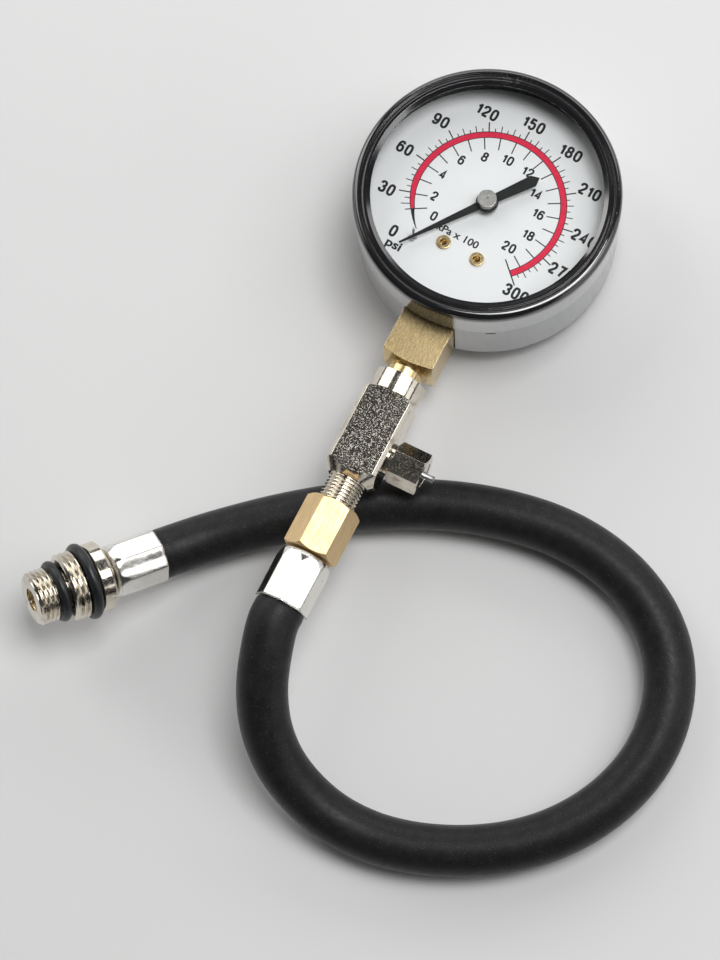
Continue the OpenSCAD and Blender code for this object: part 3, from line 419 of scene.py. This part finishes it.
def chrome():
    """Crimped plated steel: very bright, softly rippled, a few dull marks, and a painted dark reflection
    along its edges.
    """
    s = Surface("ferrule_chrome", (0.88, 0.87, 0.85), 0.1, metal=1.0)
    # Painted reflection: dark lines along the facet edges, for the dark between the lamps that rounded edges
    # would mirror
    painted_dark_edge = s.edges(0.00035, 0.95, 0.995)
    # A second, wider rounding takes the first one's place as the normal, so the faces look pillowed
    s.edges(0.0011)
    mark = s.remap(s.noise(800, 5, seed=2), 0.64, 0.72)
    base = s.ramp(s.noise(200, 4), (0.3, (0.82, 0.8, 0.75)), (0.7, (0.92, 0.9, 0.86)))
    base = s.mix(s.math("MULTIPLY", mark, 0.6), base, (0.2, 0.17, 0.13))
    s.color(s.mix(painted_dark_edge, base, (0.016, 0.013, 0.01)))
    s.rough(s.remap(s.noise(500, 4, seed=4), 0.3, 0.7, 0.07, 0.15))
    s.bump(s.noise(260, 2, seed=6), 0.00005, 0.35)
    return s.done()


def rubber(name, low, high, rough, speck=0.0, sheen=0.0, specular=0.45):
    s = Surface(name, low, rough, Specular_IOR_Level=specular)
    base = s.ramp(s.noise(330, 6), (0.3, low), (0.7, high))
    if speck:
        dots = s.remap(s.noise(2900, 2, seed=1), 0.62, 0.72)
        base = s.mix(s.math("MULTIPLY", dots, speck), base, (0.16, 0.16, 0.16))
    s.color(base)
    if sheen:
        s.set("Sheen Weight", sheen)
        s.set("Sheen Roughness", 0.4)
    s.rough(s.remap(s.noise(700, 4, seed=3), 0.3, 0.7, rough * 0.85, min(1.0, rough * 1.15)))
    s.bump(s.noise(2200, 4, seed=5), 0.00004, 0.4)
    return s.done()


def clear_lens():
    """Thin clear glass: light passes, the surface reflects a little."""
    mat = bpy.data.materials.new("lens_clear")
    mat.use_nodes = True
    tree = mat.node_tree
    tree.nodes.clear()
    out = tree.nodes.new("ShaderNodeOutputMaterial")
    mix = tree.nodes.new("ShaderNodeMixShader")
    see = tree.nodes.new("ShaderNodeBsdfTransparent")
    see.inputs["Color"].default_value = (0.985, 0.99, 0.99, 1)
    gloss = tree.nodes.new("ShaderNodeBsdfGlossy")
    gloss.inputs["Roughness"].default_value = 0.03
    slant = tree.nodes.new("ShaderNodeLayerWeight")
    slant.inputs["Blend"].default_value = 0.5
    power = tree.nodes.new("ShaderNodeMath")
    power.operation = "POWER"
    power.inputs[1].default_value = 5
    share = tree.nodes.new("ShaderNodeMapRange")
    share.inputs["To Min"].default_value = 0.018
    share.inputs["To Max"].default_value = 0.9
    for output, target in (
        (slant.outputs["Facing"], power.inputs[0]), (power.outputs[0], share.inputs["Value"]),
        (share.outputs[0], mix.inputs[0]), (see.outputs[0], mix.inputs[1]),
        (gloss.outputs[0], mix.inputs[2]), (mix.outputs[0], out.inputs[0]),
    ):
        tree.links.new(output, target)
    return mat


mats = {
    "case_steel": case_steel(),
    "bezel_black": bezel_black(),
    "inner_black": satin_black("inner_black", (0.007, 0.007, 0.008), (0.012, 0.012, 0.013), 0.45),
    "lens_clear": clear_lens(),
    "dial_white": dial_white(),
    "pointer_black": satin_black("pointer_black", (0.006, 0.006, 0.007), (0.012, 0.012, 0.013), 0.45, 0.25),
    "cap_silver": machined("cap_silver", (0.28, 0.27, 0.26), (0.48, 0.47, 0.45), 0.34, (0.8, 0.8, 0.8),
                           along=(1, 0.3, 1), fine=3500, lines=0.3),
    "brass": machined("brass", (0.64, 0.48, 0.24), (0.74, 0.58, 0.32), 0.25, (0.98, 0.88, 0.66),
                      along=(1, 0.02, 1), fine=7000, lines=0.05, tarnish=(0.55, 0.39, 0.17)),
    "bronze_tube": machined("bronze_tube", (0.5, 0.3, 0.15), (0.62, 0.4, 0.22), 0.3, (0.8, 0.6, 0.4)),
    "bronze_spring": machined("bronze_spring", (0.55, 0.36, 0.2), (0.68, 0.47, 0.28), 0.3, (0.8, 0.6, 0.4)),
    "steel": machined("steel", (0.5, 0.5, 0.51), (0.68, 0.68, 0.69), 0.36, (0.88, 0.88, 0.88)),
    "nickel": nickel(),
    "ferrule_chrome": chrome(),
    "rubber": rubber("rubber", (0.008, 0.009, 0.01), (0.015, 0.017, 0.019), 0.36, speck=0.2),
    "hose_rubber": rubber("hose_rubber", (0.008, 0.008, 0.0085), (0.015, 0.015, 0.016), 0.46, speck=0.25,
                          sheen=0.13, specular=0.22),
}
slots = {p["node"]: p["material_slot"] for p in frame["record"]["subparts"]}
for name, obj in nodes.items():
    obj.data.materials.clear()
    obj.data.materials.append(mats[slots[name]])
# The hexagon is paler and duller than the bar
nodes["hose_insert"].data.materials[0] = machined(
    "brass_hexagon", (0.74, 0.53, 0.28), (0.86, 0.67, 0.41), 0.52, (0.98, 0.88, 0.66),
    along=(1, 0.02, 1), fine=3600, lines=0.4, tarnish=(0.55, 0.38, 0.18))
hose.data.materials.append(mats["hose_rubber"])


# Dial print: thin ink on the plate, in the dial's own frame
def prisms(name, shapes, z0, z1, mat):
    verts, faces = [], []
    for shape in shapes:
        n, first = len(shape), len(verts)
        verts += [dial @ (Vector((x, y, z)) * MM) for z in (z0, z1) for x, y in shape]
        faces.append(tuple(first + n + k for k in range(n)))
        faces.append(tuple(first + n - 1 - k for k in range(n)))
        faces += [(first + k, first + (k + 1) % n, first + n + (k + 1) % n, first + n + k) for k in range(n)]
    obj = piece(name, verts, faces)
    obj.data.materials.append(mat)


# The scale, in psi: a black wedge from a little below zero, then the red band to the full reading
ZERO_DEG = 225
DEG_PER_PSI = 0.895
PSI_PER_100_KPA = 14.5038
WEDGE_START, BAND_START, FULL = -4, 15, 300
LINE_HALF = 0.1
THIN, MIDDLE, WIDE = 0.24, 0.3, 0.33
KPA_FOOT = 15.35


def psi_angle(psi):
    return ZERO_DEG + DEG_PER_PSI * psi


def ease(value, start, end):
    """0 at the start to 1 at the end, held past both."""
    return min(1.0, max(0.0, (value - start) / (end - start)))


def band_in(psi):
    """The inner radius, which is least where the wedge meets the band."""
    return 18.45 + 0.15 * ease(psi, BAND_START, 33) + 0.5 * ease(psi, BAND_START, WEDGE_START)


def band_out(psi):
    """The outer radius, which grows from the wedge's point into the band."""
    return 19.45 + 0.75 * ease(psi, BAND_START, 42) - 0.35 * ease(psi, BAND_START, WEDGE_START)


def arc_band(inner, outer, psi0, psi1, step=1.5):
    """Quads between two radii that are functions of the reading."""
    n = max(1, round((psi1 - psi0) / step))
    marks = [psi0 + (psi1 - psi0) * i / n for i in range(n + 1)]
    return [[at(inner(p), psi_angle(p)), at(outer(p), psi_angle(p)), at(outer(q), psi_angle(q)),
             at(inner(q), psi_angle(q))][::-1] for p, q in zip(marks, marks[1:])]


def tick(r0, r1, psi, width):
    a = math.radians(psi_angle(psi))
    side = (math.cos(a) * width / 2, -math.sin(a) * width / 2)
    (x0, y0), (x1, y1) = at(r0, psi_angle(psi)), at(r1, psi_angle(psi))
    return [(x0 - side[0], y0 - side[1]), (x0 + side[0], y0 + side[1]),
            (x1 + side[0], y1 + side[1]), (x1 - side[0], y1 - side[1])]


ink = print_ink("ink_black", (0.008, 0.008, 0.01), (0.02, 0.02, 0.023))
ink_red = print_ink("ink_red", (0.74, 0.012, 0.055), (0.82, 0.018, 0.075))
black = arc_band(lambda p: band_in(p) - LINE_HALF, lambda p: band_in(p) + LINE_HALF, BAND_START, FULL)
black += arc_band(lambda p: band_out(p) - LINE_HALF, lambda p: band_out(p) + LINE_HALF, BAND_START, FULL)
black += arc_band(band_in, band_out, WEDGE_START, BAND_START)
for psi in range(20, FULL, 5):
    numbered = psi % 30 == 0
    reach = 22.85 if numbered else 21.95 if psi % 10 == 0 else 21.15
    black.append(tick(band_out(psi), reach, psi, WIDE if numbered else THIN))
for psi in [kpa * PSI_PER_100_KPA for kpa in range(2, 21)]:
    black.append(tick(KPA_FOOT, band_in(psi), psi, MIDDLE))
black += [tick(15.25, 20.85, BAND_START, MIDDLE), tick(KPA_FOOT, 22.75, FULL, WIDE)]

# The print stands on the plate from a hair inside it; black lies a hair over red
PRINT_FOOT = DIAL_Z - 0.01
PRINT_TOP = DIAL_Z + 0.02
LAYER, LAYERS = 0.0004, 40
prisms("dial_lines", black, PRINT_FOOT, PRINT_TOP, ink)
prisms("dial_band", arc_band(band_in, band_out, BAND_START, FULL), PRINT_FOOT, DIAL_Z + 0.015, ink_red)


def flat_print(name, polygons, mat):
    """Flat shapes just above the plate; neighbours lie a hair apart in height."""
    verts, faces = [], []
    for i, shape in enumerate(polygons):
        first, z = len(verts), PRINT_TOP + LAYER * (i % LAYERS)
        verts += [dial @ (Vector((x, y, z)) * MM) for x, y in shape]
        faces.append(tuple(range(first, first + len(shape))))
    obj = piece(name, verts, faces)
    obj.data.materials.append(mat)


LOOP_STEPS = 28
BEND_STEP = 0.09


def loop(cx, cy, rx, ry, power):
    """A closed, slightly squared oval."""
    points = []
    for k in range(LOOP_STEPS + 1):
        c, s = math.cos(k * math.tau / LOOP_STEPS), math.sin(k * math.tau / LOOP_STEPS)
        points.append((cx + rx * math.copysign(abs(c) ** (2 / power), c),
                       cy + ry * math.copysign(abs(s) ** (2 / power), s)))
    return points


def bent(*points):
    """A smooth line through the points."""
    return [(p.x, p.y) for p in smooth_line([Vector((x, y, 0)) for x, y in points], BEND_STEP)]


# The strokes of each digit, in a box of about 1 by 1
DIGITS = {
    "0": [loop(0.5, 0.5, 0.5, 0.5, 2.7)],
    "1": [[(0.95, 0), (0.95, 1)], [(0.95, 0.96), (0.5, 0.79), (-0.15, 0.7)]],
    "2": [bent((0, 0.7), (0.08, 0.89), (0.5, 1), (0.94, 0.88), (0.96, 0.64), (0.55, 0.36),
               (0.12, 0.13), (0, 0)),
          [(0, 0), (1, 0)]],
    "3": [bent((0.02, 0.76), (0.12, 0.92), (0.5, 1), (0.9, 0.9), (0.92, 0.66), (0.66, 0.54), (0.4, 0.53)),
          bent((0.4, 0.53), (0.72, 0.51), (0.99, 0.36), (0.93, 0.1), (0.5, 0), (0.1, 0.08), (0, 0.26))],
    "4": [[(0.74, 0), (0.74, 1), (0, 0.29), (1.02, 0.29)]],
    "5": [[(0.94, 1), (0.16, 1), (0.07, 0.5)],
          bent((0.07, 0.5), (0.3, 0.63), (0.62, 0.64), (0.96, 0.5), (0.98, 0.2), (0.7, 0.02),
               (0.3, 0.01), (0, 0.22))],
    "6": [loop(0.5, 0.31, 0.5, 0.31, 2.3),
          bent((0.96, 0.8), (0.84, 0.95), (0.52, 1), (0.14, 0.86), (0, 0.5), (0.01, 0.3))],
    "7": [[(0, 1), (1, 1), (0.6, 0.5), (0.36, 0)]],
    "8": [loop(0.5, 0.77, 0.43, 0.23, 2.3), loop(0.5, 0.27, 0.5, 0.27, 2.3)],
    "9": [loop(0.5, 0.69, 0.5, 0.31, 2.3),
          bent((0.04, 0.2), (0.16, 0.05), (0.48, 0), (0.86, 0.14), (1, 0.5), (0.99, 0.7))],
}


def stroke(points, width):
    """Quads along a line, joined on their mitres; a line that ends where it began is closed."""
    points = [Vector(p) for p in points]
    ring = (points[0] - points[-1]).length < 1e-6
    left, right = [], []
    for i, p in enumerate(points):
        ahead = points[i + 1] if i + 1 < len(points) else points[1] if ring else None
        behind = points[i - 1] if i else points[-2] if ring else None
        out = (ahead - p).normalized() if ahead is not None else None
        into = (p - behind).normalized() if behind is not None else out
        out = out if out is not None else into
        normal = Vector((-(into.y + out.y), into.x + out.x)).normalized()
        reach = width / 2 / max(0.45, normal.dot(Vector((-into.y, into.x))))
        left.append(p + normal * reach)
        right.append(p - normal * reach)
    return [[tuple(right[i]), tuple(right[i + 1]), tuple(left[i + 1]), tuple(left[i])]
            for i in range(len(points) - 1)]


ONE_WIDTH = 0.64
DIGIT_GAP = 0.17


def number(value, centre, height, width, weight):
    """A printed number in plain bold digits, centred; sizes in mm."""
    text = str(value)
    spans = [width * (ONE_WIDTH if c == "1" else 1.0) for c in text]
    gap = DIGIT_GAP * width
    x = centre[0] - (sum(spans) + gap * (len(text) - 1)) / 2
    shapes = []
    for c, span in zip(text, spans):
        for line in DIGITS[c]:
            points = [(x + weight / 2 + u * (span - weight), centre[1] + (v - 0.5) * (height - weight))
                      for u, v in line]
            shapes += stroke(points, weight)
        x += span + gap
    return shapes


def words(text, centre, height, width, weight):
    """One printed word as a mesh, fitted to a height and a width in mm."""
    curve = bpy.data.curves.new("word", "FONT")
    curve.body = text
    curve.offset = weight
    curve.resolution_u = 4
    obj = bpy.data.objects.new("word", curve)
    scene.collection.objects.link(obj)
    mesh = bpy.data.meshes.new_from_object(obj.evaluated_get(bpy.context.evaluated_depsgraph_get()))
    bpy.data.objects.remove(obj)
    corners = np.array([v.co[:2] for v in mesh.vertices])
    low, high = corners.min(0), corners.max(0)
    corners = (corners - (low + high) / 2) / (high - low) * (width, height) + centre
    polygons = [[tuple(corners[i]) for i in p.vertices] for p in mesh.polygons]
    bpy.data.meshes.remove(mesh)
    return polygons


# Height, width and stroke of the digits on both scales
PSI_DIGITS = (3.35, 2.0, 0.66)
KPA_DIGITS = (2.7, 1.65, 0.52)
digits = []
for psi, x, y in (
    (0, -17.43, -17.43), (30, -24.64, -8.13), (60, -26.03, 3.65), (90, -21.66, 14.68),
    (120, -12.33, 22.5), (150, -0.19, 25.02), (180, 11.79, 22.76), (210, 21.12, 15.69),
    (240, 25.83, 3.86), (270, 25.15, -6.8), (300, 17.83, -17.36),
):
    digits += number(psi, (x, y), *PSI_DIGITS)
for kpa, x, y in (
    (0, -10.4, -9.04), (2, -12.96, -4.23), (4, -13.94, 1.95), (6, -11.73, 7.7), (8, -6.89, 11.29),
    (10, -1.35, 13.38), (12, 4.7, 12.93), (14, 9.38, 8.63), (16, 12.56, 4.16), (18, 13.08, -2.05),
    (20, 10.34, -7.26),
):
    digits += number(kpa, (x, y), *KPA_DIGITS)
flat_print("dial_numbers", digits, ink)
units = words("psi", (-15.58, -21.02), 3.1, 4.2, 0.03)
units += words("kPa x 100", (-2.46, -10.76), 2.1, 11.7, 0.022)
flat_print("dial_units", units, ink)


# Floor and light
floor_mesh = bpy.data.meshes.new("floor")
floor_mesh.from_pydata([(-3, -3, 0), (3, -3, 0), (3, 3, 0), (-3, 3, 0)], [], [(0, 1, 2, 3)])
floor = bpy.data.objects.new("floor", floor_mesh)
scene.collection.objects.link(floor)
pale = Surface("floor_pale", (0.72, 0.72, 0.72), 0.8)
pale.color(pale.ramp(pale.noise(3, 2), (0.3, (0.71, 0.71, 0.71)), (0.7, (0.73, 0.73, 0.73))))
floor.data.materials.append(pale.done())

world = bpy.data.worlds.new("world")
scene.world = world
world.use_nodes = True
background = world.node_tree.nodes["Background"]
background.inputs["Color"].default_value = (0.97, 0.98, 1.0, 1)
background.inputs["Strength"].default_value = 0.06


def softbox(name, direction, distance, wide, high, radiance, color=(1, 1, 1)):
    """A rectangular lamp that faces the object; distance and sizes in metres."""
    light = bpy.data.lights.new(name, "AREA")
    light.shape = "RECTANGLE"
    light.size, light.size_y = wide, high
    light.energy = radiance * math.pi * wide * high
    light.color = color
    obj = bpy.data.objects.new(name, light)
    obj.location = Vector(direction).normalized() * distance
    obj.rotation_euler = (-obj.location).to_track_quat("-Z", "Y").to_euler()
    scene.collection.objects.link(obj)


softbox("key", (0.155, 0.25, 0.956), 1.5, 0.6, 0.6, 9.9)
softbox("right", (0.53, 0.28, 0.8), 1.2, 0.5, 0.75, 2.8)
softbox("left", (-0.75, 0.28, 0.6), 1.2, 0.45, 1.0, 2.4, (1.0, 0.99, 0.97))
softbox("back", (-0.15, 0.88, 0.42), 1.4, 2.0, 0.7, 2.0)
softbox("left_low", (-0.93, 0.05, 0.33), 1.2, 1.2, 0.45, 1.3, (1.0, 0.99, 0.97))
softbox("right_low", (0.93, 0.2, 0.33), 1.2, 1.2, 0.45, 1.2)
